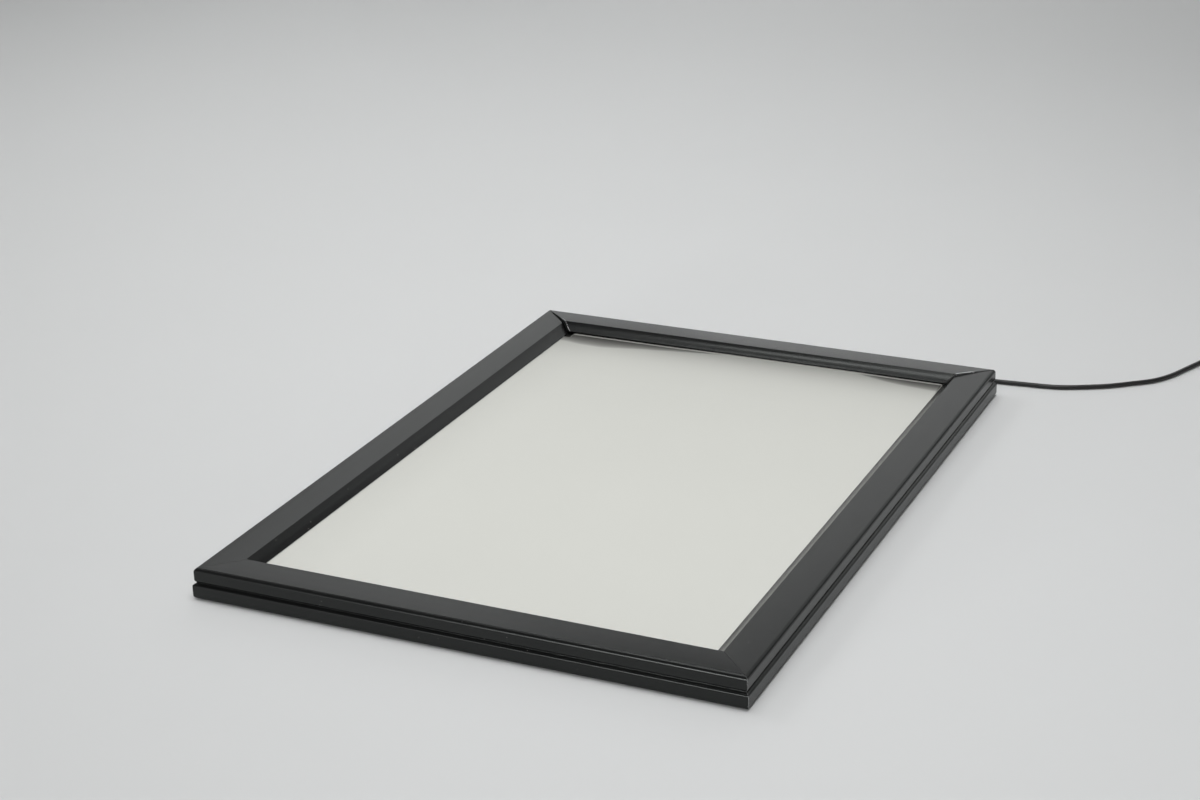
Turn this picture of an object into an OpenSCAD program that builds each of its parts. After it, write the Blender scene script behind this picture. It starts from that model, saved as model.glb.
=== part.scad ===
/* [Poster and light stack] */
// Width of the poster that the box shows
poster_w = 297; // [210:1:420]
// Length of the poster that the box shows
poster_l = 420; // [297:1:594]
// Thickness of the back panel
back_panel_t = 2; // [1:0.5:4]
// Thickness of the white reflector film
reflector_t = 0.3; // [0.2:0.05:0.5]
// Thickness of the acrylic light guide
guide_t = 5; // [4:0.5:8]
// Thickness of the opal diffuser
diffuser_t = 3; // [1.5:0.5:4]
// Thickness of the loose cover sheet on top
sheet_t = 0.9; // [0.5:0.1:1.5]

/* [Base frame] */
// Outer face of the frame to the poster's edge
margin = 15; // [14:0.5:20]
// Free strip between the base's inner wall and the poster's edge
strip_space = 2; // [1.9:0.1:4]
// Height of the lower lobe, up to the edge of the V groove
lobe_h = 8.4; // [8:0.1:10]
// Wall of the base extrusion
base_wall = 1.3; // [1:0.1:1.6]
// Floor ledge of the base, under the stack
floor_t = 1.5; // [1.2:0.1:2]
// How far the floor ledge reaches past the poster's edge
ledge_w = 9; // [5:0.5:11]
// Radius of the outer bottom edge
bottom_r = 2.3; // [0.8:0.1:2.6]
// How far the base's inner wall stays below the cover sheet
wall_drop = 0.5; // [0.3:0.1:2]
// Gap between the mitred ends of the base rails
base_mitre_gap = 0.04; // [0.02:0.01:0.2]

/* [Hinge] */
// Depth of the hinge axis behind the base's outer face
pivot_depth = 2.2; // [2.1:0.05:2.4]
// Height of the hinge axis above the lower lobe's edge
pivot_rise = 1; // [0.9:0.05:1.2]
// Height of the V groove between its two edges
v_mouth = 2.4; // [2.3:0.1:2.8]
// Radius on the lower lobe's edge of the V groove
base_edge_r = 1.2; // [0.4:0.1:1.5]
// Radius of the bead along the base
bead_r = 2.1; // [1.9:0.05:2.3]
// Thickness of the hook that wraps the bead
hook_t = 1.2; // [1:0.1:1.5]
// Running clearance of the hook on the bead
hinge_play = 0.05; // [0.03:0.01:0.1]
// How far below the axis the hook reaches round the bead, in degrees
hook_end = 50; // [40:1:55]
// Clearance between the swinging hook and what lies around it
swing_clear = 0.35; // [0.3:0.05:0.6]

/* [Cover rails] */
// Wall of the cover extrusion
cover_wall = 1.4; // [1.1:0.1:1.7]
// How far the cover's outer face stays behind the base's
cover_set = 0.85; // [0.5:0.05:1]
// Radius of the outer shoulder
shoulder_r = 2.2; // [1:0.1:2.6]
// Base's outer face to the inner edge of the flat top
top_w = 21.9; // [19:0.1:24]
// Width of the inner bevel
bevel_run = 6.6; // [5:0.2:8]
// Height of the flat top above the foot of the lip
bevel_drop = 5.4; // [4:0.1:6.5]
// Depth of the shallow hollow along the inner bevel
bevel_hollow = 0.5; // [0.2:0.1:0.8]
// Flat land left above and below that hollow
bevel_land = 0.4; // [0.2:0.1:1]
// Blunt edge at the end of the lip
lip_t = 0.4; // [0.2:0.1:0.8]
// Play between the lip and the cover sheet
lip_play = 0.1; // [0.05:0.05:0.3]
// Gap between the mitred ends of the cover rails
cover_mitre_gap = 0.3; // [0.2:0.05:0.6]
// Radius on the cover's edge of the V groove
cover_edge_r = 2; // [0.4:0.1:2.2]
// How far the back cover stands ajar, in degrees
back_ajar = 4; // [0:0.5:6]

/* [Springs] */
// Length of a leaf spring along the rail
spring_l = 40; // [20:1:60]
// Thickness of a leaf spring
spring_t = 0.5; // [0.3:0.05:0.7]
// Rise of a leaf spring's bow
spring_bow = 1.5; // [1:0.1:2]
// Width of the seat rib under a spring's foot
seat_w = 0.9; // [0.6:0.1:1.5]

/* [Corners and wall holes] */
// Length of a corner key's leg
key_leg = 28; // [22:1:32]
// Play of a corner key in its chamber
key_play = 0.05; // [0.03:0.01:0.15]
// Diameter of a corner screw
screw_d = 3; // [2:0.5:4]
// Corner screw from the outer corner, along the rail
screw_from_corner = 19; // [16:0.5:20]
// Diameter of the wall screw holes
wall_hole_d = 4.5; // [3.5:0.1:5]
// Distance between the two wall holes of a side rail
wall_hole_pitch = 300; // [290:5:340]
// Wall hole from the outer face
wall_hole_u = 7.5; // [6:0.1:8.5]

/* [Light strips] */
// Thickness of a strip's circuit board
pcb_t = 1; // [0.8:0.1:1.2]
// Height of a strip's circuit board
pcb_h = 4.4; // [3.6:0.1:4.6]
// Strip's end from the poster's edge
strip_end = 10; // [6:1:20]
// Lamps on each strip
lamp_count = 24; // [12:1:36]
// Lamp length along the strip
lamp_l = 3.5; // [2:0.1:5]
// Lamp height
lamp_h = 2.8; // [2:0.1:3.4]
// Lamp thickness
lamp_t = 0.7; // [0.5:0.05:0.8]
// Diameter of the inner wires
wire_d = 1.3; // [1:0.1:1.5]

/* [Cord] */
// Diameter of the cord
cord_d = 3; // [2.6:0.1:3.2]
// Cord hole from the right end of the back rail
cord_from_end = 36; // [34:0.5:60]
// Length of jacket inside the base
cord_tail = 6; // [3:0.5:8]
// Flange diameter of the grommet
grommet_d = 6; // [5:0.1:6.2]
// Flange thickness of the grommet
grommet_t = 1; // [0.6:0.1:1.5]
// Wall of the grommet's sleeve
grommet_wall = 0.4; // [0.3:0.05:0.5]
// Turns of the coil in each of its two layers
coil_turns = 3.5; // [2:0.5:4]
// Radius of the coil's outer turn
coil_r = 24; // [22:0.5:26]
// Least gap between turns that is planned for
coil_gap = 0.5; // [0.45:0.05:0.8]
// Inward dip of the half turn that climbs a layer
coil_dip = 0.6; // [0.5:0.1:1]
// Width of the tie round the coil
tie_w = 4; // [2.5:0.5:6]
// Thickness of the tie's band
tie_t = 0.4; // [0.3:0.05:0.5]

/* [Plug] */
// Diameter of the plug's grip
grip_d = 11; // [10.8:0.1:11.6]
// Length of the plug's grip
grip_l = 18; // [14:0.5:24]
// Length of the tapered strain relief
relief_l = 14; // [8:0.5:20]
// Outer diameter of the plug's metal sleeve
sleeve_d = 5.5; // [4:0.1:6]
// Length of the plug's metal sleeve
sleeve_l = 9.5; // [8:0.5:12]
// Bore of the plug for the centre pin
plug_bore_d = 2.1; // [1.5:0.1:2.5]

/* [Hidden] */
$fn = 48;

FRONT = 0;
RIGHT = 1;
BACK = 2;
LEFT = 3;

frame_w = poster_w + 2 * margin;
frame_l = poster_l + 2 * margin;
panel_z = floor_t + back_panel_t;
guide_z = panel_z + reflector_t;
diffuser_z = guide_z + guide_t;
sheet_z = diffuser_z + diffuser_t;
sheet_top = sheet_z + sheet_t;
frame_t = sheet_top + lip_play + bevel_drop;

// Section of a rail: u runs inward from the outer face, z runs up
inner_u = margin - strip_space;
wall_u = inner_u - base_wall;
ledge_u = margin + ledge_w;
wall_top = sheet_top - wall_drop;
pivot_z = lobe_h + pivot_rise;
v_top = lobe_h + v_mouth;
base_v_angle = atan2(pivot_rise, pivot_depth);
cover_v_angle = atan2(v_top - pivot_z, pivot_depth - cover_set);
base_run = base_edge_r * tan((90 - base_v_angle) / 2);
cover_run = cover_edge_r * tan((90 - cover_v_angle) / 2);
base_edge = [base_run * cos(base_v_angle), lobe_h + base_run * sin(base_v_angle)];
cover_edge = [cover_set + cover_run * cos(cover_v_angle), v_top - cover_run * sin(cover_v_angle)];
hook_ri = bead_r + hinge_play;
hook_ro = hook_ri + hook_t;
core_r = 0.35;
core_gap = 0.08;
flank_base = 57;
flank_cover = 62;
bead_from = -130;
hook_to = 100;
chamber_top = pivot_z - hook_ro * sin(hook_end) - swing_clear;
ceiling_z = chamber_top - base_wall;
neck_u = pivot_depth + hook_ri * cos(hook_end) - swing_clear;
neck_z = pivot_z - sqrt(pow(bead_r, 2) - pow(neck_u - pivot_depth, 2));
lip_u = top_w + bevel_run;
foot_z = sheet_top + lip_play;
bevel_angle = atan2(bevel_drop - lip_t, bevel_run);
bevel_mid = [top_w + bevel_run / 2, frame_t - (bevel_drop - lip_t) / 2];
hollow_half = bevel_run / cos(bevel_angle) / 2 - bevel_land;
hollow_r = (hollow_half * hollow_half + bevel_hollow * bevel_hollow) / (2 * bevel_hollow);
hook_trim_play = 1;
hook_trim = inner_u + hook_trim_play;
// Reach of the shapes that only cut, and how far a cut runs past a face
far = 60;
over = 1;

spring_out = pivot_depth + hook_ro + 2 * swing_clear;
spring_play = 0.05;
spring_in = wall_u - spring_play;
spring_half = (spring_in - spring_out) / 2;
spring_rise = spring_bow + spring_t / 2;
spring_ro = (pow(spring_half, 2) + pow(spring_rise, 2)) / (2 * spring_rise);
seat_z = pivot_z - spring_bow;
seat_h = 0.7;

key_lo = base_wall + key_play;
key_hi = ceiling_z - key_play;
screw_u = (base_wall + wall_u) / 2;
screw_sink = 0.3;
screw_play = 0.1;
thread_play = 0.02;
slot_w = 0.6;
slot_h = 0.8;

panel_play = 0.2;
strip_l = poster_l - 2 * strip_end;
lamp_pitch = strip_l / lamp_count;
board_play = 0.02;
board_u = inner_u + board_play;
board_z = guide_z + (guide_t - pcb_h) / 2;
wire_u = inner_u + strip_space / 2;
wire_play = 0.05;
wire_z = panel_z + wire_d / 2 + wire_play;
wire_rise = wire_d + 3 * wire_play;
wire_hole_d = wire_d + 4 * wire_play;
wire_end_gap = 0.2;

cord_r = cord_d / 2;
cord_x = frame_w / 2 - cord_from_end;
cord_z = (base_wall + ceiling_z) / 2;
cord_play = 0.02;

// Free cord on the way from the grommet to the coil, from the hole in the back rail
cord_start = [cord_x, frame_l / 2, 0];
cord_route = [
    [0, grommet_t, cord_z], [0, 4, cord_z], [0.2, 7.5, 3], [1.5, 11.5, 2.6], [4.5, 15.5, 2], [9, 18, 1.6],
    [15, 19.1, 1.5], [22, 19.5, 1.5], [30, 19.9, 1.5], [38, 20.6, 1.5], [46, 21.4, 1.5], [54, 22.2, 1.5],
    [62, 22.9, 1.5], [70, 24.3, 1.5], [78, 27, 1.5], [86, 30.6, 1.5], [93, 34.2, 1.5], [100, 38, 1.5],
    [107, 42.9, 1.5], [114, 48.4, 1.5], [121, 53.8, 1.5], [127.5, 59.9, 1.5], [133, 67.8, 1.5],
    [137.5, 76.5, 1.5], [141, 85.2, 1.5], [144.4, 93.4, 1.5], [147.4, 100.8, 1.5], [150.1, 107.8, 1.5],
    [152.6, 114.2, 1.5], [154.7, 120.6, 1.8], [156, 127.4, 2], [156.1, 134.6, 2]
];
cord_points = [for (p = cord_route) cord_start + p];
coil_z = 2;
coil_pitch = cord_d + coil_gap;
coil_from = cord_points[len(cord_points) - 1];
coil_dir = [0, 1, 0];
coil_in = coil_from + cord_d * coil_dir;
coil_centre = coil_in + coil_r * [coil_dir[1], -coil_dir[0], 0];
coil_phase = atan2(coil_dir[0], -coil_dir[1]);
coil_climb = 0.5;
coil_total = 2 * coil_turns + coil_climb;
coil_inner_r = coil_r - coil_turns * coil_pitch;
coil_rings = 24;
coil_sides = 6;
lead_sides = 8;
coil_steps = round(coil_total * coil_rings);
coil_end_angle = coil_phase - 360 * coil_total;
coil_out_dir = [sin(coil_end_angle), -cos(coil_end_angle), 0];
coil_turn_points = [for (i = [0:coil_steps]) coil_point(i / coil_rings)];
coil_exit = coil_turn_points[coil_steps] + cord_d * coil_out_dir;
coil_points = concat([coil_from], coil_turn_points, [coil_exit]);
tie_angle = 63;
tie_play = 0.1;
tie_in_r = coil_inner_r - coil_dip - cord_r - tie_play;
tie_out_r = coil_r + cord_r + tie_play;
tie_top = coil_z + coil_pitch + cord_r + tie_play;
tie_head = [3, 5, 4];

relief_r = [2.3, 4];
rib_count = 5;
rib_w = 1.2;
rib_h = 0.4;
plug_face = relief_l + grip_l;
sleeve_wall = 0.5;
root_step = 0.3;
root_d = sleeve_d - 2 * root_step;
root_l = 4;
plug_play = 0.02;
core_set_back = 0.5;

function unit(v) = v / norm(v);
function tangent(p, i) = unit(p[min(i + 1, len(p) - 1)] - p[max(i - 1, 0)]);
function ring(p, i, r, n) =
    let (t = tangent(p, i), s = unit(cross(t, [0, 0, 1])), w = cross(s, t))
    [for (k = [0:n - 1]) p[i] + r * (cos(360 * (k + 0.5) / n) * s + sin(360 * (k + 0.5) / n) * w)];
function coil_radius(s) =
    s < coil_turns ? coil_r - coil_pitch * s :
    s < coil_turns + coil_climb ? coil_inner_r - coil_dip * sin(180 * (s - coil_turns) / coil_climb) :
    coil_inner_r + coil_pitch * (s - coil_turns - coil_climb);
function coil_height(s) = coil_z + coil_pitch * min(1, max(0, (s - coil_turns) / coil_climb));
function coil_point(s) =
    let (a = coil_phase - 360 * s)
    [coil_centre[0] + coil_radius(s) * cos(a), coil_centre[1] + coil_radius(s) * sin(a), coil_height(s)];
function path_length(p, i = 1) = i >= len(p) ? 0 : norm(p[i] - p[i - 1]) + path_length(p, i + 1);
function least_gap(p, apart) =
    let (last = len(p) - 1)
    min([for (i = [0:last - apart]) for (j = [i + apart:last]) norm(p[i] - p[j])]) - cord_d;

echo(least_coil_gap = least_gap(coil_turn_points, coil_rings / 2));
echo(cord_length = path_length(cord_points) + path_length(coil_points));

function rail_length(side) = side % 2 == 0 ? frame_w : frame_l;
function rail_offset(side) = side % 2 == 0 ? frame_l / 2 : frame_w / 2;

// Puts a rail's own frame (x along, y inward, z up) at one side of the box
module at_side(side) {
    rotate([0, 0, 90 * side]) translate([0, -rail_offset(side), 0]) children();
}

// Extrudes a (u, z) section along a rail
module along_rail(length) {
    rotate([90, 0, 90]) linear_extrude(height = length, center = true) children();
}

// Cuts both ends of a rail at 45 degrees
module mitred(side, gap) {
    half = rail_length(side) / 2 - gap / sqrt(2);
    deep = 2 * margin;
    intersection() {
        children();
        translate([0, 0, -over]) linear_extrude(height = frame_t + 2 * over)
            polygon([[-half, 0], [half, 0], [half - deep, deep], [deep - half, deep]]);
    }
}

module at_pivot() {
    translate([pivot_depth, pivot_z]) children();
}

// Wedge of the section plane round the hinge axis
module hinge_sector(from, to) {
    rays = [for (a = [from, (from + to) / 2, to]) far * [cos(a), sin(a)]];
    at_pivot() polygon(concat([[0, 0]], rays));
}

// Rounds on the edges of the V groove: a slice of the disc that touches the side and the V face
module base_v_edge() {
    centre = [base_edge_r, lobe_h - base_run];
    beyond = 2 * base_edge - centre;
    intersection() {
        translate(centre) circle(r = base_edge_r);
        polygon([centre, beyond, [-over, beyond[1]], [-over, centre[1]]]);
    }
}

module cover_v_edge() {
    centre = [cover_set + cover_edge_r, v_top + cover_run];
    beyond = 2 * cover_edge - centre;
    intersection() {
        translate(centre) circle(r = cover_edge_r);
        polygon([centre, [-over, centre[1]], [-over, beyond[1]], beyond]);
        translate([-over, 0]) square([over + cover_set + cover_wall / 2, frame_t]);
    }
}

module base_section() {
    difference() {
        union() {
            polygon([
                [bottom_r, 0], [ledge_u, 0], [ledge_u, floor_t], [inner_u, floor_t], [inner_u, wall_top],
                [wall_u, wall_top], [wall_u, chamber_top], [neck_u, chamber_top],
                [neck_u, neck_z], [pivot_depth, pivot_z], base_edge, [0, lobe_h - base_run], [0, bottom_r]
            ]);
            translate([bottom_r, bottom_r]) circle(r = bottom_r);
            base_v_edge();
            at_pivot() circle(r = core_r);
            intersection() {
                hinge_sector(bead_from, flank_base);
                at_pivot() circle(r = bead_r);
            }
            translate([wall_u - seat_w, seat_z - seat_h]) square([seat_w, seat_h]);
        }
        translate([base_wall, base_wall]) square([wall_u - base_wall, ceiling_z - base_wall]);
    }
}

module cover_section() {
    top_in = frame_t - cover_wall;
    turn_u = top_w - cover_wall * tan(bevel_angle / 2);
    foot_u = lip_u - (lip_t * cos(bevel_angle) + cover_wall) / sin(bevel_angle) + lip_t / tan(bevel_angle);
    rib_z = wall_top + lip_play;
    wall_in = cover_set + cover_wall;
    shoulder = [cover_set + shoulder_r, frame_t - shoulder_r];
    difference() {
        union() {
            polygon([
                cover_edge, [pivot_depth, pivot_z], [wall_in, v_top],
                [wall_in, top_in - shoulder_r / 2], [wall_in + shoulder_r / 2, top_in],
                [wall_u, top_in], [wall_u, rib_z], [inner_u, rib_z], [inner_u, top_in],
                [turn_u, top_in], [foot_u, foot_z], [lip_u, foot_z], [lip_u, foot_z + lip_t],
                [top_w, frame_t], [shoulder[0], frame_t],
                [cover_set, shoulder[1]], [cover_set, v_top + cover_run]
            ]);
            intersection() {
                translate(shoulder) circle(r = shoulder_r);
                polygon([
                    [cover_set, shoulder[1]], [wall_in, shoulder[1]],
                    [shoulder[0], top_in], [shoulder[0], frame_t], [cover_set, frame_t]
                ]);
            }
            cover_v_edge();
            intersection() {
                hinge_sector(-hook_end, hook_to);
                at_pivot() circle(r = hook_ro);
            }
        }
        intersection() {
            hinge_sector(-90, flank_cover);
            at_pivot() circle(r = hook_ri);
        }
        at_pivot() circle(r = core_r + core_gap);
        translate(bevel_mid + (hollow_r - bevel_hollow) * [sin(bevel_angle), cos(bevel_angle)])
            circle(r = hollow_r);
    }
}

module screw_hole(along) {
    translate([along, screw_u, -over]) cylinder(d = screw_d + 2 * screw_play, h = base_wall + 2 * over);
}

module base_rail(side) {
    screw_at = rail_length(side) / 2 - screw_from_corner;
    color([0.11, 0.11, 0.115]) at_side(side) difference() {
        mitred(side, base_mitre_gap) along_rail(rail_length(side)) base_section();
        for (along = [-screw_at, screw_at]) screw_hole(along);
        if (side == LEFT || side == RIGHT)
            for (along = [-wall_hole_pitch / 2, wall_hole_pitch / 2])
                translate([along, wall_hole_u, -over])
                    cylinder(d = wall_hole_d, h = chamber_top + 2 * over);
        if (side == BACK) {
            translate([-cord_x, -over, cord_z]) rotate([-90, 0, 0])
                cylinder(r = cord_r + cord_play + grommet_wall, h = screw_u);
            for (shift = [-wire_rise / 2, wire_rise / 2])
                translate([shift - cord_x, wall_u - over, wire_z]) rotate([-90, 0, 0])
                    cylinder(d = wire_hole_d, h = base_wall + 2 * over);
        }
    }
}

// Swings a cover about its hinge axis
module swung(angle) {
    translate([0, pivot_depth, pivot_z]) rotate([angle, 0, 0])
        translate([0, -pivot_depth, -pivot_z]) children();
}

module cover_rail(side) {
    length = rail_length(side);
    color([0.13, 0.13, 0.135]) at_side(side) swung(side == BACK ? back_ajar : 0) difference() {
        mitred(side, cover_mitre_gap) along_rail(length) cover_section();
        for (from = [-length / 2, length / 2 - hook_trim])
            translate([from, pivot_depth + core_r, pivot_z + core_r - far]) cube([hook_trim, far, far]);
    }
}

module leaf_springs(side) {
    color([0.62, 0.63, 0.65]) at_side(side)
        for (along = [-rail_length(side) / 4, rail_length(side) / 4]) translate([along, 0, 0])
            along_rail(spring_l) intersection() {
                translate([spring_out, seat_z]) square([2 * spring_half, far]);
                translate([spring_out + spring_half, seat_z + spring_rise - spring_ro]) difference() {
                    circle(r = spring_ro);
                    circle(r = spring_ro - spring_t);
                }
            }
}

// Corner index: 0 is front right, then anticlockwise seen from above
module at_corner(corner) {
    sign_x = corner == 0 || corner == 1 ? 1 : -1;
    sign_y = corner == 1 || corner == 2 ? 1 : -1;
    translate([sign_x * frame_w / 2, sign_y * frame_l / 2, 0])
        mirror([sign_x > 0 ? 1 : 0, 0, 0]) mirror([0, sign_y > 0 ? 1 : 0, 0]) children();
}

module corner_key(corner) {
    lo = base_wall + key_play;
    hi = wall_u - key_play;
    color([0.72, 0.73, 0.75]) at_corner(corner) difference() {
        translate([0, 0, key_lo]) linear_extrude(height = key_hi - key_lo)
            polygon([[lo, lo], [key_leg, lo], [key_leg, hi], [hi, hi], [hi, key_leg], [lo, key_leg]]);
        for (spot = [[screw_from_corner, screw_u], [screw_u, screw_from_corner]])
            translate([spot[0], spot[1], 0]) cylinder(d = screw_d + 2 * thread_play, h = ceiling_z);
    }
}

module corner_screws() {
    color([0.55, 0.56, 0.58])
        for (corner = [0:3]) at_corner(corner)
            for (spot = [[screw_from_corner, screw_u], [screw_u, screw_from_corner]])
                translate([spot[0], spot[1], screw_sink]) difference() {
                    cylinder(d = screw_d, h = key_hi - 2 * screw_sink);
                    translate([-screw_d, -slot_w / 2, -over]) cube([2 * screw_d, slot_w, over + slot_h]);
                }
}

module plate(width, length, z, thickness) {
    translate([-width / 2, -length / 2, z]) cube([width, length, thickness]);
}

module back_panel() {
    inset = inner_u + panel_play;
    color([0.86, 0.86, 0.85]) plate(frame_w - 2 * inset, frame_l - 2 * inset, floor_t, back_panel_t);
}

module reflector_film() {
    color([0.97, 0.97, 0.97]) plate(poster_w, poster_l, panel_z, reflector_t);
}

module light_guide() {
    color([0.8, 0.88, 0.9]) plate(poster_w, poster_l, guide_z, guide_t);
}

module diffuser_panel() {
    color([0.93, 0.93, 0.91]) plate(poster_w, poster_l, diffuser_z, diffuser_t);
}

module cover_sheet() {
    color([0.95, 0.95, 0.93]) plate(poster_w, poster_l, sheet_z, sheet_t);
}

module led_board(side) {
    color([0.93, 0.93, 0.9]) at_side(side)
        translate([-strip_l / 2, board_u, board_z]) cube([strip_l, pcb_t, pcb_h]);
}

module leds(side) {
    first = (lamp_pitch - strip_l - lamp_l) / 2;
    color([0.95, 0.85, 0.35]) at_side(side)
        for (i = [0:lamp_count - 1])
            translate([first + i * lamp_pitch, board_u + pcb_t, board_z + (pcb_h - lamp_h) / 2])
                cube([lamp_l, lamp_t, lamp_h]);
}

// Round wire from point to point, with a ball at each bend
module wire(points) {
    for (i = [0:len(points) - 2]) {
        run = points[i + 1] - points[i];
        translate(points[i]) rotate([0, 90, atan2(run[1], run[0])]) cylinder(d = wire_d, h = norm(run));
        if (i > 0) translate(points[i]) sphere(d = wire_d);
    }
}

module jumper_wires() {
    x = frame_w / 2 - wire_u;
    y = frame_l / 2 - wire_u;
    y_end = strip_l / 2 + wire_end_gap;
    color([0.75, 0.12, 0.1])
        for (level = [0, 1]) translate([0, 0, wire_z + level * wire_rise])
            wire([[-x, y_end, 0], [-x, y, 0], [x, y, 0], [x, y_end, 0]]);
}

module core_wires() {
    reach = wire_u - wire_d / 2 - wire_play - cord_tail;
    color([0.2, 0.2, 0.22]) at_side(BACK)
        for (shift = [-wire_rise / 2, wire_rise / 2])
            translate([shift - cord_x, cord_tail, wire_z]) rotate([-90, 0, 0])
                cylinder(d = wire_d, h = reach);
}

module cord_inner_end() {
    color([0.06, 0.06, 0.06]) at_side(BACK)
        translate([-cord_x, -grommet_t, cord_z]) rotate([-90, 0, 0])
            cylinder(r = cord_r, h = grommet_t + cord_tail);
}

module cord_grommet() {
    bore_r = cord_r + cord_play;
    color([0.05, 0.05, 0.05]) at_side(BACK)
        translate([-cord_x, 0, cord_z]) rotate([-90, 0, 0]) difference() {
            union() {
                translate([0, 0, -grommet_t]) cylinder(d = grommet_d, h = grommet_t);
                cylinder(r = bore_r + grommet_wall - cord_play, h = 2 * base_wall);
            }
            translate([0, 0, -far]) cylinder(r = bore_r, h = 2 * far);
        }
}

// One closed tube through the points of a route
module tube(points, r, sides) {
    last = len(points) - 1;
    rings = [for (i = [0:last]) ring(points, i, r, sides)];
    vertices = [for (one = rings) for (p = one) p];
    walls = [
        for (i = [0:last - 1]) for (k = [0:sides - 1])
            let (a = i * sides + k, b = i * sides + (k + 1) % sides)
            each [[a, b, b + sides], [a, b + sides, a + sides]]
    ];
    start_cap = [for (k = [1:sides - 2]) [0, k + 1, k]];
    end_cap = [for (k = [1:sides - 2]) [last * sides, last * sides + k, last * sides + k + 1]];
    polyhedron(points = vertices, faces = concat(walls, start_cap, end_cap));
}

module cord_lead() {
    color([0.06, 0.06, 0.06]) tube(cord_points, cord_r, lead_sides);
}

module cord_coil() {
    color([0.06, 0.06, 0.06]) tube(coil_points, cord_r, coil_sides);
}

module coil_tie() {
    band = [tie_out_r - tie_in_r, tie_top - tie_t];
    color([0.09, 0.09, 0.09]) translate(coil_centre - [0, 0, coil_z]) rotate([0, 0, tie_angle]) {
        translate([0, tie_w / 2, 0]) rotate([90, 0, 0]) linear_extrude(height = tie_w)
            translate([tie_in_r, tie_t]) difference() {
                translate([-tie_t, -tie_t]) square(band + 2 * [tie_t, tie_t]);
                square(band);
            }
        translate([tie_out_r + tie_t, -tie_head[1] / 2, 0]) cube(tie_head);
    }
}

// Plug's own frame: z runs out of the cord, away from the coil
module at_plug() {
    translate(coil_exit) rotate([0, 90, atan2(coil_out_dir[1], coil_out_dir[0])]) children();
}

module plug_grip() {
    color([0.07, 0.07, 0.07]) at_plug() difference() {
        union() {
            cylinder(r1 = relief_r[0], r2 = relief_r[1], h = relief_l);
            translate([0, 0, relief_l]) cylinder(d = grip_d - 2 * rib_h, h = grip_l);
            for (i = [0:rib_count - 1])
                translate([0, 0, relief_l + (i + 0.5) * grip_l / rib_count - rib_w / 2])
                    cylinder(d = grip_d, h = rib_w);
        }
        translate([0, 0, plug_face - root_l]) cylinder(d = root_d + 2 * plug_play, h = far);
    }
}

module plug_sleeve() {
    color([0.8, 0.8, 0.82]) at_plug() translate([0, 0, plug_face]) difference() {
        union() {
            translate([0, 0, plug_play]) cylinder(d = sleeve_d, h = sleeve_l);
            translate([0, 0, plug_play - root_l]) cylinder(d = root_d, h = root_l);
        }
        cylinder(d = sleeve_d - 2 * sleeve_wall, h = far);
    }
}

module plug_insulator() {
    color([0.1, 0.1, 0.1]) at_plug() translate([0, 0, plug_face + plug_play]) difference() {
        cylinder(d = sleeve_d - 2 * (sleeve_wall + plug_play), h = sleeve_l - core_set_back);
        translate([0, 0, sleeve_wall]) cylinder(d = plug_bore_d, h = far);
    }
}

base_rail(FRONT);  // base_rail_front
base_rail(RIGHT);  // base_rail_right
base_rail(BACK);  // base_rail_back
base_rail(LEFT);  // base_rail_left
cover_rail(FRONT);  // cover_rail_front
cover_rail(RIGHT);  // cover_rail_right
cover_rail(BACK);  // cover_rail_back
cover_rail(LEFT);  // cover_rail_left
leaf_springs(FRONT);  // springs_front
leaf_springs(RIGHT);  // springs_right
leaf_springs(BACK);  // springs_back
leaf_springs(LEFT);  // springs_left
corner_key(0);  // corner_key_front_right
corner_key(1);  // corner_key_back_right
corner_key(2);  // corner_key_back_left
corner_key(3);  // corner_key_front_left
corner_screws();
back_panel();
reflector_film();
light_guide();
diffuser_panel();
cover_sheet();
led_board(RIGHT);  // led_board_right
led_board(LEFT);  // led_board_left
leds(RIGHT);  // leds_right
leds(LEFT);  // leds_left
jumper_wires();
core_wires();
cord_inner_end();
cord_grommet();
cord_lead();
cord_coil();
coil_tie();
plug_grip();
plug_sleeve();
plug_insulator();
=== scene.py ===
import math

import bmesh
import bpy
from mathutils import Matrix, Vector


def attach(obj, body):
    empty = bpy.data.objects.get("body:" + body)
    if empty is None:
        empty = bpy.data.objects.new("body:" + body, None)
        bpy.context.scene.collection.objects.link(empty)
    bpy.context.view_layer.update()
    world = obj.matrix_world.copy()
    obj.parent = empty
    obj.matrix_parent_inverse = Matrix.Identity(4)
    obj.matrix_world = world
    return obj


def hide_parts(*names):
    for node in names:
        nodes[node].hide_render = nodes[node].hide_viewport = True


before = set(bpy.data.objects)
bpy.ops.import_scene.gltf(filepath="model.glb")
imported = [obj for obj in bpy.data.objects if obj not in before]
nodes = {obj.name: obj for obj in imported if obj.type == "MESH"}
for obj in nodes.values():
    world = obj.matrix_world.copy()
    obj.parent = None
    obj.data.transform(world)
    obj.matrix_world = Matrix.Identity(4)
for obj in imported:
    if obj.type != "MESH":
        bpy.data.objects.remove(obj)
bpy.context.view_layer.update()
scene = bpy.context.scene
MM = 0.001

# Sizes of the box, in millimetres, as the CAD has them
FRAME_W, FRAME_L = 327.0, 450.0
TOP_W = 21.9
HINGE_U, HINGE_Z = 2.2, 9.4
CORD_D = 3.0
# Degrees that the back cover stands open at rest
BACK_AJAR = 4.0
SIDES = ("front", "right", "back", "left")


# Camera
IMAGE_W = 1200
FOCAL_PX = 2317.06
AZIMUTH, ELEVATION, ROLL = math.radians(25.1269), math.radians(22.0106), math.radians(-1.4210)
VIEW_SHIFT = Vector((18.519, 53.020, 1399.901))


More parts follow.
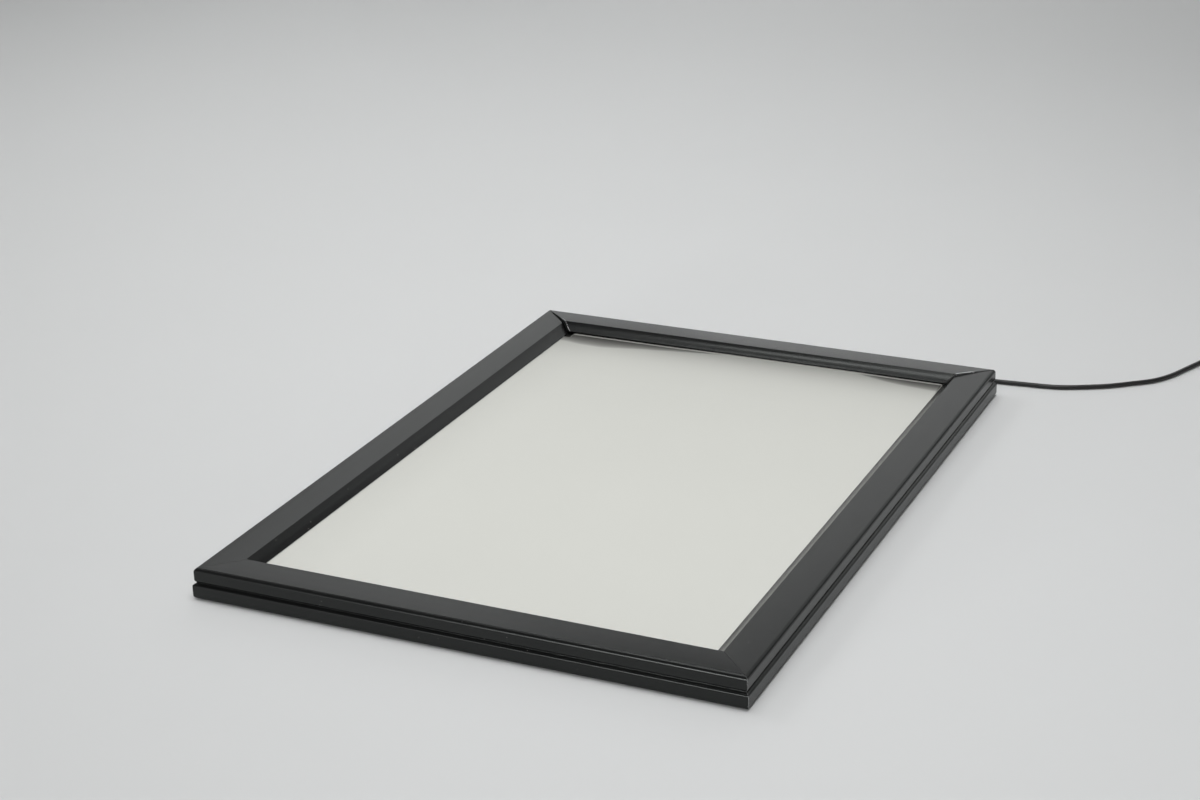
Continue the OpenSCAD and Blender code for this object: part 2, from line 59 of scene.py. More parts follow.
def make_camera():
    back = Vector((math.sin(AZIMUTH) * math.cos(ELEVATION), -math.cos(AZIMUTH) * math.cos(ELEVATION),
                   math.sin(ELEVATION)))
    right = Vector((0, 0, 1)).cross(back).normalized()
    up = back.cross(right)
    c, s = math.cos(ROLL), math.sin(ROLL)
    right, up = right * c + up * s, up * c - right * s
    place = -(right * VIEW_SHIFT.x - up * VIEW_SHIFT.y - back * VIEW_SHIFT.z)
    data = bpy.data.cameras.new("camera")
    data.sensor_width = 36.0
    data.lens = FOCAL_PX * data.sensor_width / IMAGE_W
    data.clip_start = 0.01
    data.clip_end = 50.0
    cam = bpy.data.objects.new("camera", data)
    scene.collection.objects.link(cam)
    turn = Matrix((right, up, back)).transposed().to_4x4()
    cam.matrix_world = Matrix.Translation(place * MM) @ turn
    scene.camera = cam


make_camera()
scene.view_settings.view_transform = "Standard"


# Material helpers
class Mat:
    """A node material with a Principled shader and short calls for its inputs."""

    def __init__(self, name, **sockets):
        self.mat = bpy.data.materials.new(name)
        self.mat.use_nodes = True
        self.tree = self.mat.node_tree
        self.shader = self.tree.nodes["Principled BSDF"]
        for key, value in sockets.items():
            self.shader.inputs[key.replace("_", " ")].default_value = value
        self.coords = self.node("ShaderNodeTexCoord").outputs["Object"]

    def node(self, kind, **props):
        n = self.tree.nodes.new(kind)
        for key, value in props.items():
            setattr(n, key, value)
        return n

    def link(self, a, b):
        self.tree.links.new(a, b)

    def set(self, socket, value):
        if hasattr(value, "is_linked"):
            self.link(value, socket)
        else:
            socket.default_value = value

    def math(self, op, a, b=0.0, c=0.0, clamp=False):
        n = self.node("ShaderNodeMath", operation=op, use_clamp=clamp)
        for socket, value in zip(n.inputs, (a, b, c)):
            self.set(socket, value)
        return n.outputs[0]

    def mapped(self, scale, offset=(0, 0, 0)):
        n = self.node("ShaderNodeMapping")
        n.inputs["Scale"].default_value = scale
        n.inputs["Location"].default_value = offset
        self.link(self.coords, n.inputs["Vector"])
        return n.outputs[0]

    def noise(self, scale, detail=3.0, rough=0.55, stretch=(1, 1, 1), offset=(0, 0, 0)):
        n = self.node("ShaderNodeTexNoise")
        self.link(self.mapped(stretch, offset), n.inputs["Vector"])
        n.inputs["Scale"].default_value = scale
        n.inputs["Detail"].default_value = detail
        n.inputs["Roughness"].default_value = rough
        return n.outputs["Fac"]

    def spots(self, scale, radius, offset=(0, 0, 0)):
        """1 inside small round spots, 0 elsewhere."""
        n = self.node("ShaderNodeTexVoronoi")
        self.link(self.mapped((1, 1, 1), offset), n.inputs["Vector"])
        n.inputs["Scale"].default_value = scale
        return self.span(n.outputs["Distance"], radius, radius * 0.55, 0.0, 1.0)

    def span(self, value, low, high, out_low, out_high):
        n = self.node("ShaderNodeMapRange")
        for key, v in zip(("From Min", "From Max", "To Min", "To Max"), (low, high, out_low, out_high)):
            n.inputs[key].default_value = v
        self.link(value, n.inputs["Value"])
        return n.outputs[0]

    def mix(self, fac, a, b):
        n = self.node("ShaderNodeMix", data_type="RGBA")
        self.set(n.inputs["Factor"], fac)
        self.set(n.inputs["A"], a if hasattr(a, "is_linked") else (*a, 1.0))
        self.set(n.inputs["B"], b if hasattr(b, "is_linked") else (*b, 1.0))
        return n.outputs["Result"]

    def color(self, value):
        self.link(value, self.shader.inputs["Base Color"])

    def roughness(self, value):
        self.link(value, self.shader.inputs["Roughness"])

    def bump(self, height, strength, distance):
        n = self.node("ShaderNodeBump")
        n.inputs["Strength"].default_value = strength
        n.inputs["Distance"].default_value = distance
        self.link(height, n.inputs["Height"])
        self.link(n.outputs["Normal"], self.shader.inputs["Normal"])

    def along(self, axis, start):
        """Distance along an axis from a start, in metres."""
        n = self.node("ShaderNodeVectorMath", operation="DOT_PRODUCT")
        self.link(self.coords, n.inputs[0])
        n.inputs[1].default_value = axis
        return self.math("SUBTRACT", n.outputs["Value"], start)

    def attribute(self, name):
        return self.node("ShaderNodeAttribute", attribute_name=name).outputs["Fac"]


def rail_axes(side, ajar):
    """Axis into a rail from its outer face with that face's place on it, the long axis, and half the length."""
    turn = math.radians(ajar)
    c, s = math.cos(turn), math.sin(turn)
    half_x, half_y = FRAME_W / 2 * MM, FRAME_L / 2 * MM
    if side == "front":
        return (0, 1, 0), -half_y, (1, 0, 0), half_x
    if side == "back":
        hinge_y, hinge_z = half_y - HINGE_U * MM, HINGE_Z * MM
        return (0, -c, s), -hinge_y * c + hinge_z * s - HINGE_U * MM, (1, 0, 0), half_x
    if side == "left":
        return (1, 0, 0), -half_x, (0, 1, 0), half_y
    return (-1, 0, 0), -half_x, (0, 1, 0), half_y


# Coat of the rails: colours, then lengths in metres
COVER_DARK, BASE_DARK = 0.006, 0.0055
DUST_COLOR = (0.32, 0.31, 0.29)
BARE_COLOR = (0.78, 0.78, 0.79)
# Near black painted as shade in the back cover's open mitre wedge
GAP_SHADE_COLOR = (0.001, 0.001, 0.001)
COVER_BARE = (0.00021, 0.00017)  # where the bare metal at a mitre begins and is full
BASE_BARE = (0.00007, 0.00004)
BARE_FADE = (0.0008, 0.002, 1.0, 0.12)  # from and to place behind the outer face, then share of bare metal there
GRAIN_HEIGHT, LINE_HEIGHT = 1.2e-6, 4e-7
CROWN = 1.1  # fall of a cover's flat top, times the square of the way from its inner edge
RUB_WIDTH = (0.0009, 0.0008)
RUB_START, RUB_END = (0.0115, 0.0135), (0.0212, 0.0218)
# Wedge of painted shade at the back cover's open left mitre, and the bare rim along it
WEDGE_START, WEDGE_END, WEDGE_WIDTH = 0.004, 0.022, 0.0012
RIM_START, RIM_END, RIM_WIDTH = 0.016, 0.019, 0.0003


def back_mitres(m, u, cut, bare):
    """Back cover's rubbed right mitre and open left one: the bare metal with both, and the open wedge, painted near
    black as the shade inside the opening.
    """
    right_end = m.math("GREATER_THAN", m.along((1, 0, 0), 0.0), 0.0)
    left_end = m.math("SUBTRACT", 1.0, right_end)
    rubbed = m.math("MULTIPLY", m.span(cut, *RUB_WIDTH, 0, 1), m.span(u, *RUB_START, 0, 1))
    rubbed = m.math("MULTIPLY", rubbed, m.span(u, *RUB_END, 1, 0))
    bare = m.math("MAXIMUM", bare, m.math("MULTIPLY", rubbed, right_end))
    wedge = m.span(u, WEDGE_START, WEDGE_END, 0, WEDGE_WIDTH)
    rim = m.math("LESS_THAN", cut, m.math("ADD", wedge, m.span(u, RIM_START, RIM_END, 0, RIM_WIDTH)))
    bare = m.math("MAXIMUM", bare, m.math("MULTIPLY", rim, left_end))
    return bare, m.math("MULTIPLY", m.math("LESS_THAN", cut, wedge), left_end)


def coated_rail(name, side, cover):
    """Satin black coat on an extruded rail: soft crown, fine grain, draw lines, dust, bare cut ends, and on the
    back cover a wedge of painted shade at its open mitre.
    """
    dark = COVER_DARK if cover else BASE_DARK
    m = Mat(name, IOR=1.39, Specular_Tint=(0.95, 1.0, 0.975, 1.0))
    into, face, length, half = rail_axes(side, BACK_AJAR if cover else 0.0)
    u = m.along(into, face)
    w = m.math("ABSOLUTE", m.along(length, 0.0))
    cut = m.math("MULTIPLY", m.math("SUBTRACT", m.math("SUBTRACT", half, u), w), 0.7071)
    bare = m.span(cut, *(COVER_BARE if cover else BASE_BARE), 0, 1)
    bare = m.math("MULTIPLY", bare, m.span(u, *BARE_FADE))
    gap = None
    if cover and side == "back":
        bare, gap = back_mitres(m, u, cut, bare)
    stretch = (0.03, 1, 1) if length[0] else (1, 0.03, 1)
    cloud = m.noise(14, 3)
    grain = m.noise(2600, 2, 0.6)
    lines = m.noise(900, 3, 0.6, stretch)
    patches = m.span(m.noise(60, 2, 0.5, offset=(3, 1, 7)), 0.55, 0.62, 0, 1)
    dust = m.math("MULTIPLY", m.spots(170, 0.06), patches)
    base = m.mix(m.span(cloud, 0.35, 0.65, 0, 1), (dark, dark, dark * 1.04), (dark * 1.4,) * 3)
    base = m.mix(m.span(grain, 0.45, 0.75, 0, 0.3), base, (dark * 1.6,) * 3)
    base = m.mix(m.math("MULTIPLY", dust, 0.65), base, DUST_COLOR)
    base = m.mix(bare, base, BARE_COLOR)
    rough = m.math("ADD", m.span(cloud, 0.3, 0.7, 0.24, 0.26), m.span(lines, 0.3, 0.7, -0.006, 0.008))
    rough = m.math("ADD", rough, m.math("MULTIPLY", dust, 0.3))
    # Painted shade: the open mitre wedge is coloured near black, matte and not metallic
    if gap is not None:
        base = m.mix(gap, base, GAP_SHADE_COLOR)
        bare = m.math("SUBTRACT", bare, gap, clamp=True)
        rough = m.math("MAXIMUM", rough, gap)
    m.color(base)
    m.link(bare, m.shader.inputs["Metallic"])
    m.roughness(rough)
    height = m.math("ADD", m.math("MULTIPLY", grain, GRAIN_HEIGHT), m.math("MULTIPLY", lines, LINE_HEIGHT))
    if cover:
        inside = m.math("MAXIMUM", m.math("SUBTRACT", TOP_W * MM, u), 0.0)
        height = m.math("SUBTRACT", height, m.math("MULTIPLY", m.math("MULTIPLY", inside, inside), CROWN))
    m.bump(height, 1.0, 1.0)
    return m.mat


def opal_sheet(name):
    """Off-white low-glare sheet, with shade painted along its back margin where it bows up, and painted near black
    in a sunk notch at one corner.
    """
    m = Mat(name, IOR=1.45)
    cloud = m.noise(9, 3)
    fine = m.noise(1800, 2)
    base = m.mix(m.span(cloud, 0.3, 0.7, 0, 1), (0.706, 0.711, 0.665), (0.718, 0.723, 0.677))
    patches = m.span(m.noise(30, 2, offset=(1, 9, 4)), 0.56, 0.6, 0, 1)
    specks = m.math("MULTIPLY", m.spots(75, 0.03, (5, 2, 0)), patches)
    base = m.mix(m.math("MULTIPLY", specks, 0.35), base, (0.45, 0.43, 0.4))
    # Painted shade: the shade attribute darkens the sheet towards near black
    base = m.mix(m.attribute("shade"), base, (0.022, 0.02, 0.017))
    # Painted shade: the sunk notch at the back left corner is coloured near black
    m.color(m.mix(m.attribute("gap"), base, (0.006, 0.006, 0.005)))
    m.roughness(m.span(cloud, 0.3, 0.7, 0.5, 0.58))
    m.bump(fine, 0.05, 0.0002)
    return m.mat


CLOUDINESS = 0.12


def plain_plastic(name, color, rough, grain=1500.0):
    """Moulded or extruded plastic with a fine grain and a little cloudiness."""
    m = Mat(name, IOR=1.47)
    cloud = m.noise(40, 3)
    fine = m.noise(grain, 2, 0.6)
    low = tuple(c * (1 - CLOUDINESS) for c in color)
    high = tuple(min(1.0, c * (1 + CLOUDINESS)) for c in color)
    m.color(m.mix(m.span(cloud, 0.3, 0.7, 0, 1), low, high))
    m.roughness(m.span(fine, 0.3, 0.7, rough - 0.05, rough + 0.07))
    m.bump(fine, 0.08, 0.0003)
    return m.mat


def bare_metal(name, color, rough):
    """Bare metal with fine scratches and dull patches."""
    m = Mat(name, Metallic=1.0)
    fine = m.noise(700, 3, 0.6)
    cloud = m.noise(60, 3)
    m.color(m.mix(m.span(cloud, 0.3, 0.7, 0, 1), tuple(c * 0.85 for c in color), color))
    dull = m.span(cloud, 0.4, 0.7, 0, 0.08)
    m.roughness(m.math("ADD", m.span(fine, 0.3, 0.7, rough - 0.07, rough + 0.08), dull))
    m.bump(fine, 0.08, 0.0002)
    return m.mat


def dress(name, mat):
    slots = nodes[name].material_slots
    if not slots:
        nodes[name].data.materials.append(mat)
    for slot in slots:
        slot.link = "OBJECT"
        slot.material = mat


EDGE_WIDTH, EDGE_ANGLE, EDGE_SEGMENTS = 0.13, 30, 2
WELD_WITHIN = 0.002


def soften(name):
    """Small rounded edges on a CAD node, as modifiers."""
    obj = nodes[name]
    weld = obj.modifiers.new("weld", "WELD")
    weld.merge_threshold = WELD_WITHIN * MM
    bevel = obj.modifiers.new("edge", "BEVEL")
    bevel.width = EDGE_WIDTH * MM
    bevel.segments = EDGE_SEGMENTS
    bevel.limit_method = "ANGLE"
    bevel.angle_limit = math.radians(EDGE_ANGLE)
    even = obj.modifiers.new("even", "WEIGHTED_NORMAL")
    even.mode = "FACE_AREA"
    even.keep_sharp = False


for side in SIDES:
    dress("cover_rail_" + side, coated_rail("cover_coat_" + side, side, True))
    dress("base_rail_" + side, coated_rail("base_coat_" + side, side, False))
    soften("cover_rail_" + side)
    soften("base_rail_" + side)
    dress("springs_" + side, bare_metal("spring_steel_" + side, (0.62, 0.63, 0.65), 0.28))
for corner in ("front_right", "back_right", "back_left", "front_left"):
    dress("corner_key_" + corner, bare_metal("cast_alloy_" + corner, (0.66, 0.67, 0.68), 0.5))
dress("corner_screws", bare_metal("screw_steel", (0.5, 0.5, 0.52), 0.35))
dress("back_panel", plain_plastic("back_sheet", (0.62, 0.62, 0.6), 0.5, 900))
dress("reflector_film", plain_plastic("reflector_white", (0.86, 0.86, 0.86), 0.6))
dress("light_guide", plain_plastic("guide_acrylic", (0.7, 0.78, 0.78), 0.12))
dress("diffuser_panel", plain_plastic("opal_plastic", (0.8, 0.8, 0.77), 0.5))
for side in ("right", "left"):
    dress("led_board_" + side, plain_plastic("board_mask_" + side, (0.82, 0.82, 0.79), 0.4))
    dress("leds_" + side, plain_plastic("lamp_phosphor_" + side, (0.85, 0.62, 0.12), 0.35))
dress("jumper_wires", plain_plastic("wire_red", (0.4, 0.03, 0.025), 0.4))
dress("core_wires", plain_plastic("wire_grey", (0.05, 0.05, 0.055), 0.4))
dress("cord_grommet", plain_plastic("grommet_rubber", (0.02, 0.02, 0.02), 0.55))
dress("coil_tie", plain_plastic("tie_black", (0.02, 0.02, 0.02), 0.4))
dress("plug_grip", plain_plastic("plug_black", (0.018, 0.018, 0.018), 0.42))
dress("plug_sleeve", bare_metal("plug_nickel", (0.75, 0.74, 0.72), 0.18))
dress("plug_insulator", plain_plastic("plug_core", (0.02, 0.02, 0.02), 0.25))


# Cover sheet
SHEET_W, SHEET_L, SHEET_LOW, SHEET_TOP = 297.0, 420.0, 11.8, 12.7
LIP_X, LIP_Y = 134.6, 196.4
# Corner where the sheet is sunk and painted near black as shade
NOTCH_X, NOTCH_Y = -129.0, 190.0
# Along the back edge, by x: depth of the painted shade crescent, and rise of the rim
MARGIN_SHADE_DEPTH = ((-149, 12), (-135, 12.5), (-118, 15.5), (-102, 16), (-76, 10.4), (-52, 6.6), (-37, 4.6),
              (-23, 3.0), (-10, 1.8), (0, 1.2), (66, 1.2), (78, 2.4), (88, 4.8), (98, 7.4), (108, 9.2), (119, 10.4),
              (130, 11.4), (149, 12))
RIM_RISE = ((-149, 1.2), (-60, 1.2), (-20, 1.55), (80, 1.55), (105, 1.3), (149, 1.3))
# Share of light that the painted shade lets the sheet keep, by the way from the back lip
LIGHT_KEPT = ((0, 0.45), (2, 0.47), (6, 0.53), (10, 0.61), (14, 0.69), (18, 0.75), (22, 0.79), (28, 0.84),
              (36, 0.88), (50, 0.92), (75, 0.945), (130, 0.965), (200, 0.98), (400, 1.0))
BOW_DEPTH = 26.0
NOTCH_SINK = 0.6
# Flat painted shade on the sheet where it lies under the covers
HIDDEN_SHADE = 0.3  # under the covers
# Width of a rim strip by the lip that is left lighter as a painted highlight line, then the strength of the painted
# shade crescent, its strength on that rim, and its power
LIGHTER_RIM_WIDTH = 1.7
MARGIN_SHADE_STRENGTH, RIM_SHADE_STRENGTH, MARGIN_SHADE_POWER = 0.98, 0.1, 0.48
# Crescent depths over which the painted shade fades in
MARGIN_SHADE_LEAST, MARGIN_SHADE_FULL = 1.2, 4
# Painted shade towards the left margin: its strength and the x where it starts and where it is full
LEFT_SHADE, LEFT_START, LEFT_END = 0.045, -95, -130
FULL_SHADE = 0.97
SEAM = 0.1  # between two grid lines at a sharp step
NOTCH_SEAM = 0.05
GRID_X, GRID_STEP_X, GRID_COUNT_X = -134.0, 2.5, 108
FINE_Y, FINE_STEP_Y, FINE_COUNT_Y = 180.0, 0.4, 41
COARSE_Y = (-150.0, -75.0, 0.0, 75.0, 130.0, 150.0, 160.0, 168.0, 174.0, 203.0)


def knots(table, x):
    """Value between the knots of a table, on straight lines."""
    for (x0, y0), (x1, y1) in zip(table, table[1:]):
        if x <= x1:
            return y0 + (y1 - y0) * max(0.0, min(1.0, (x - x0) / (x1 - x0)))
    return table[-1][1]


def ease(low, high, value):
    """0 at low, 1 at high, smooth between."""
    f = max(0.0, min(1.0, (value - low) / (high - low)))
    return f * f * (3 - 2 * f)


def sheet_form(x, y):
    """Rise of the sheet, its painted shade, and whether it lies in the sunk notch painted near black as shade, at
    one place.
    """
    # The sunk notch is marked for near black painted shade
    if x < NOTCH_X and y > NOTCH_Y:
        return -NOTCH_SINK, 0.0, 1.0
    away = LIP_Y - y
    # Under the covers the sheet gets a flat painted shade
    if away < 0 or abs(x) > LIP_X:
        return 0.0, HIDDEN_SHADE, 0.0
    # Painted shade: less light kept near the back lip and the left margin, a darker crescent, and a lighter thin
    # rim
    kept = knots(LIGHT_KEPT, away) * (1 - LEFT_SHADE * ease(LEFT_START, LEFT_END, x))
    depth = knots(MARGIN_SHADE_DEPTH, x)
    margin_shade = ease(MARGIN_SHADE_LEAST, MARGIN_SHADE_FULL, depth) * max(0.0, 1 - away / depth) ** MARGIN_SHADE_POWER
    kept *= 1 - margin_shade * (MARGIN_SHADE_STRENGTH if away > LIGHTER_RIM_WIDTH else RIM_SHADE_STRENGTH)
    rise = knots(RIM_RISE, x) * max(0.0, 1 - away / BOW_DEPTH) ** 2
    return rise, (1 - kept) / FULL_SHADE, 0.0


def make_sheet():
    """Sheet with a fine grid at its back margin, where it bows up, and its painted shade as attributes."""
    end_x, end_y = SHEET_W / 2, SHEET_L / 2
    xs = {-end_x, SEAM - end_x, -LIP_X - SEAM, -LIP_X, LIP_X, LIP_X + SEAM, end_x - SEAM, end_x}
    xs |= {NOTCH_X, NOTCH_X + NOTCH_SEAM}
    xs |= {GRID_X + GRID_STEP_X * i for i in range(GRID_COUNT_X)}
    ys = {-end_y, SEAM - end_y, NOTCH_Y, NOTCH_Y + NOTCH_SEAM, LIP_Y, LIP_Y + NOTCH_SEAM, end_y - SEAM, end_y}
    ys |= set(COARSE_Y)
    ys |= {FINE_Y + FINE_STEP_Y * i for i in range(FINE_COUNT_Y)}
    xs, ys = sorted(xs), sorted(ys)
    bm = bmesh.new()
    tops, lows, marks = {}, {}, []
    for i, x in enumerate(xs):
        for j, y in enumerate(ys):
            rise, shade, gap = sheet_form(x, y)
            tops[i, j] = bm.verts.new((x * MM, y * MM, (SHEET_TOP + rise) * MM))
            marks.append((shade, gap))
            lows[i, j] = bm.verts.new((x * MM, y * MM, SHEET_LOW * MM))
            marks.append((0.0, 0.0))
    last_i, last_j = len(xs) - 1, len(ys) - 1
    for i in range(last_i):
        for j in range(last_j):
            bm.faces.new((tops[i, j], tops[i + 1, j], tops[i + 1, j + 1], tops[i, j + 1])).smooth = True
            bm.faces.new((lows[i, j], lows[i, j + 1], lows[i + 1, j + 1], lows[i + 1, j]))
    for i in range(last_i):
        bm.faces.new((lows[i, 0], lows[i + 1, 0], tops[i + 1, 0], tops[i, 0]))
        bm.faces.new((lows[i + 1, last_j], lows[i, last_j], tops[i, last_j], tops[i + 1, last_j]))
    for j in range(last_j):
        bm.faces.new((lows[0, j + 1], lows[0, j], tops[0, j], tops[0, j + 1]))
        bm.faces.new((lows[last_i, j], lows[last_i, j + 1], tops[last_i, j + 1], tops[last_i, j]))
    mesh = bpy.data.meshes.new("sheet")
    bm.to_mesh(mesh)
    bm.free()
    for k, name in enumerate(("shade", "gap")):
        layer = mesh.attributes.new(name, "FLOAT", "POINT")
        layer.data.foreach_set("value", [mark[k] for mark in marks])
    mesh.materials.append(opal_sheet("sheet_off_white"))
    obj = bpy.data.objects.new("sheet", mesh)
    scene.collection.objects.link(obj)
    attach(obj, "box")
    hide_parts("cover_sheet")


make_sheet()


# Cord
CORD_START = Vector((FRAME_W / 2 - 36.0, FRAME_L / 2, 0.0))
CORD_Z = 3.241876
CORD_ROUTE = (
    (0, 1, CORD_Z), (0, 4, CORD_Z), (0.2, 7.5, 3), (1.5, 11.5, 2.6), (4.5, 15.5, 2), (9, 18, 1.6),
    (15, 19.1, 1.5), (22, 19.5, 1.5), (30, 19.9, 1.5), (38, 20.6, 1.5), (46, 21.4, 1.5), (54, 22.2, 1.5),
    (62, 22.9, 1.5), (70, 24.3, 1.5), (78, 27, 1.5), (86, 30.6, 1.5), (93, 34.2, 1.5), (100, 38, 1.5),
    (107, 42.9, 1.5), (114, 48.4, 1.5), (121, 53.8, 1.5), (127.5, 59.9, 1.5), (133, 67.8, 1.5),
    (137.5, 76.5, 1.5), (141, 85.2, 1.5), (144.4, 93.4, 1.5), (147.4, 100.8, 1.5), (150.1, 107.8, 1.5),
    (152.6, 114.2, 1.5), (154.7, 120.6, 1.8), (156, 127.4, 2), (156.1, 134.6, 2),
)
COIL_TURNS, COIL_R, COIL_PITCH, COIL_DIP, COIL_CLIMB, COIL_Z = 3.5, 24.0, 3.5, 0.6, 0.5, 2.0
COIL_STEPS = 24
LEAD_STEPS = 3
TUBE_SIDES = 20
GROOVE_DEPTH, GROOVE_WIDTH = 0.13, 0.28  # shares of the cord's radius


def coil_points(start):
    """The coil's own points: inwards, half a turn up, and outwards again on top."""
    centre = start + Vector((COIL_R, CORD_D, 0))
    inner = COIL_R - COIL_TURNS * COIL_PITCH
    total = 2 * COIL_TURNS + COIL_CLIMB
    points = []
    for i in range(round(total * COIL_STEPS) + 1):
        s = i / COIL_STEPS
        if s < COIL_TURNS:
            r = COIL_R - COIL_PITCH * s
        elif s < COIL_TURNS + COIL_CLIMB:
            r = inner - COIL_DIP * math.sin(math.pi * (s - COIL_TURNS) / COIL_CLIMB)
        else:
            r = inner + COIL_PITCH * (s - COIL_TURNS - COIL_CLIMB)
        z = COIL_Z + COIL_PITCH * min(1.0, max(0.0, (s - COIL_TURNS) / COIL_CLIMB))
        a = math.pi - 2 * math.pi * s
        points.append(Vector((centre.x + r * math.cos(a), centre.y + r * math.sin(a), z)))
    points.append(points[-1] + Vector((0, -CORD_D, 0)))
    return points


def smooth_path(points, steps):
    """Catmull-Rom line through the points."""
    out = []
    last = len(points) - 1
    for i in range(last):
        a, b, c, d = (points[min(max(k, 0), last)] for k in (i - 1, i, i + 1, i + 2))
        for j in range(steps):
            t = j / steps
            out.append(0.5 * (2 * b + (c - a) * t + (2 * a - 5 * b + 4 * c - d) * t * t
                              + (3 * b - a - 3 * c + d) * t ** 3))
    out.append(points[last])
    return out


def twin_tube(name, path, mat):
    """Tube along a path with the two shallow grooves of a twin-core jacket."""
    bm = bmesh.new()
    rings = []
    vertical = Vector((0, 0, 1))
    for i, p in enumerate(path):
        t = (path[min(i + 1, len(path) - 1)] - path[max(i - 1, 0)]).normalized()
        side = t.cross(vertical).normalized()
        up = side.cross(t)
        ring = []
        for k in range(TUBE_SIDES):
            a = 2 * math.pi * k / TUBE_SIDES
            r = CORD_D / 2 * (1 - GROOVE_DEPTH * math.exp(-(math.cos(a) / GROOVE_WIDTH) ** 2))
            ring.append(bm.verts.new((p + side * (r * math.cos(a)) + up * (r * math.sin(a))) * MM))
        rings.append(ring)
    for one, two in zip(rings, rings[1:]):
        for k in range(TUBE_SIDES):
            after = (k + 1) % TUBE_SIDES
            bm.faces.new((one[k], one[after], two[after], two[k]))
    bm.faces.new(list(reversed(rings[0])))
    bm.faces.new(rings[-1])
    bmesh.ops.recalc_face_normals(bm, faces=bm.faces)
    mesh = bpy.data.meshes.new(name)
    bm.to_mesh(mesh)
    bm.free()
    for poly in mesh.polygons:
        poly.use_smooth = len(poly.vertices) == 4
    mesh.materials.append(mat)
    obj = bpy.data.objects.new(name, mesh)
    scene.collection.objects.link(obj)
    return obj


lead = [CORD_START + Vector(p) for p in CORD_ROUTE]
coil = coil_points(lead[-1])
cord_path = smooth_path(lead, LEAD_STEPS) + coil
cord_coat = plain_plastic("cord_jacket", (0.012, 0.012, 0.012), 0.4, 2200)
cord = twin_tube("cord", cord_path, cord_coat)
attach(cord, "box")
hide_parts("cord_lead", "cord_coil")
inner_path = [CORD_START + Vector((0, y, CORD_Z)) for y in (-6, -4, -2, 0, 1)]
inner = twin_tube("cord_inner_jacket", inner_path, cord_coat)
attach(inner, "box")
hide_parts("cord_inner_end")


# Stage and light, in metres and watts
GROUND_REACH, GROUND_DROP = 12.0, 0.0002
COVE_START, COVE_R, COVE_STEPS, WALL_TOP = 2.6, 0.8, 12, 3.0
# Painted light on the ground: least share of its painted falloff, and the blend into it
LEAST_LIGHT, LIGHT_BLEND = 0.7, 0.3
ROOM_COLOR = (0.97, 0.99, 0.985, 1)
ROOM_FADE = (0.0, 0.65, 0.42, 0.05)  # from and to height, then strength there


def make_floor():
    """Pale ground that sweeps up into a backdrop, with a falloff of light away from the middle painted into its
    colour.
    """
    bm = bmesh.new()
    profile = [(-GROUND_REACH, 0.0), (COVE_START, 0.0)]
    for i in range(1, COVE_STEPS + 1):
        a = math.radians(90 * i / COVE_STEPS)
        profile.append((COVE_START + COVE_R * math.sin(a), COVE_R - COVE_R * math.cos(a)))
    profile.append((COVE_START + COVE_R, WALL_TOP))
    rows = [[bm.verts.new((x, y, z - GROUND_DROP)) for x in (-GROUND_REACH, GROUND_REACH)] for y, z in profile]
    for a, b in zip(rows, rows[1:]):
        bm.faces.new((a[0], a[1], b[1], b[0])).smooth = True
    mesh = bpy.data.meshes.new("floor")
    bm.to_mesh(mesh)
    bm.free()
    m = Mat("paper_white", Roughness=0.75)
    x, y = m.along((1, 0, 0), 0.0), m.along((0, 1, 0), 0.0)
    # Painted light: a smooth falloff of light across the ground multiplies the paper colour
    slant = m.math("MULTIPLY", x, m.math("MULTIPLY_ADD", x, -0.32, m.math("MULTIPLY_ADD", y, -0.4, 0.02)))
    depth = m.math("MULTIPLY_ADD", y, m.math("MULTIPLY_ADD", y, -0.14, 0.08), 0.96)
    light = m.math("MINIMUM", m.math("SMOOTH_MAX", m.math("ADD", slant, depth), LEAST_LIGHT, LIGHT_BLEND), 1.0)
    paper = m.mix(m.noise(3, 2), (0.735, 0.745, 0.745), (0.75, 0.76, 0.76))
    m.color(m.mix(light, (0, 0, 0), paper))
    mesh.materials.append(m.mat)
    floor = bpy.data.objects.new("floor", mesh)
    scene.collection.objects.link(floor)


def area_light(name, place, aim, size, power, spread=180):
    """Lamp that reflections show and the camera doesn't."""
    data = bpy.data.lights.new(name, "AREA")
    data.shape = "RECTANGLE"
    data.size, data.size_y = size
    data.energy = power
    data.spread = math.radians(spread)
    obj = bpy.data.objects.new(name, data)
    obj.location = place
    obj.rotation_euler = (Vector(aim) - Vector(place)).to_track_quat("-Z", "Y").to_euler()
    obj.visible_camera = False
    scene.collection.objects.link(obj)


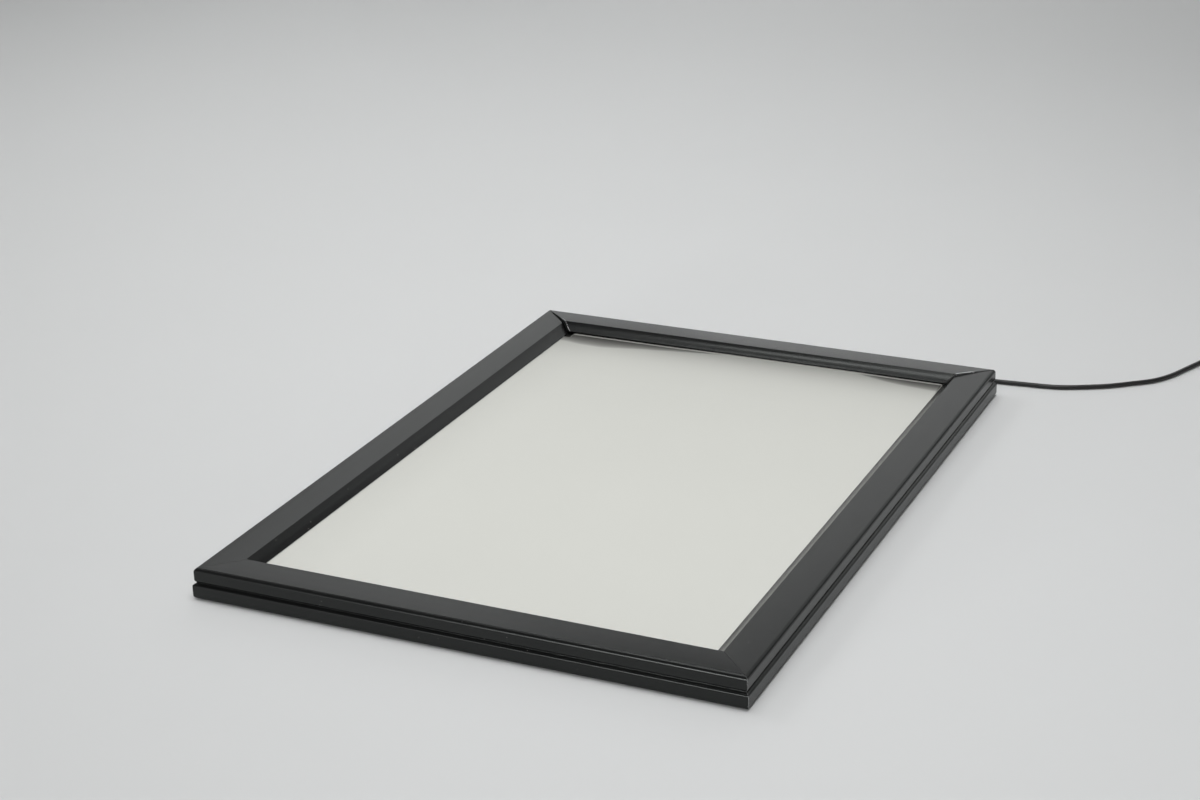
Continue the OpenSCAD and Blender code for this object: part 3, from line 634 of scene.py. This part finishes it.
def make_world():
    """Dim room: light near the horizon, dark overhead."""
    world = bpy.data.worlds.new("studio")
    world.use_nodes = True
    tree = world.node_tree
    coords = tree.nodes.new("ShaderNodeTexCoord")
    split = tree.nodes.new("ShaderNodeSeparateXYZ")
    tree.links.new(coords.outputs["Generated"], split.inputs[0])
    fade = tree.nodes.new("ShaderNodeMapRange")
    for key, value in zip(("From Min", "From Max", "To Min", "To Max"), ROOM_FADE):
        fade.inputs[key].default_value = value
    tree.links.new(split.outputs[2], fade.inputs["Value"])
    sky = tree.nodes["Background"]
    sky.inputs["Color"].default_value = ROOM_COLOR
    tree.links.new(fade.outputs[0], sky.inputs["Strength"])
    scene.world = world


# Name, place, aim, width and height, power, and where needed the spread in degrees
LAMPS = (
    ("overhead", (0.2, 0.0, 2.0), (0.1, 0.0, 0.0), (0.8, 1.1), 20.3),
    ("strip", (-0.6, 0.02, 2.0), (-0.2, 0.1, 0.0), (0.42, 0.2), 2.5),
    ("back_strip", (-0.79, 1.3, 2.0), (0.0, 0.0, 0.0), (0.33, 0.25), 2.0),
    ("back_soft", (-0.7, 0.75, 2.02), (-0.2, 0.1, 0.0), (1.2, 0.8), 1.6),
    ("front", (0.4, -1.5, 1.4), (0.0, 0.0, 0.0), (0.9, 0.9), 8.5),
    ("left", (-1.5, 0.2, 1.3), (0.0, 0.0, 0.0), (0.7, 0.5), 5.0),
    ("low_front", (-1.1, -3.78, 0.24), (-0.2, -0.2, 0.12), (0.6, 0.44), 31.6),
    ("wall", (-1.1, 1.7, 2.8), (-1.1, 3.4, 1.0), (4.0, 1.0), 32.0, 100),
    ("backdrop_right", (-0.2, 1.95, 0.72), (-0.2, 0.0, 0.6), (1.1, 1.25), 1.1),
    ("backdrop_far", (0.75, 1.95, 1.2), (0.75, 0.0, 1.1), (0.9, 0.9), 1.2),
    ("backdrop_high", (-1.7, 1.94, 1.56), (-1.7, 0.0, 1.5), (1.2, 0.42), 1.7),
)

make_floor()
make_world()
for lamp in LAMPS:
    area_light(*lamp)
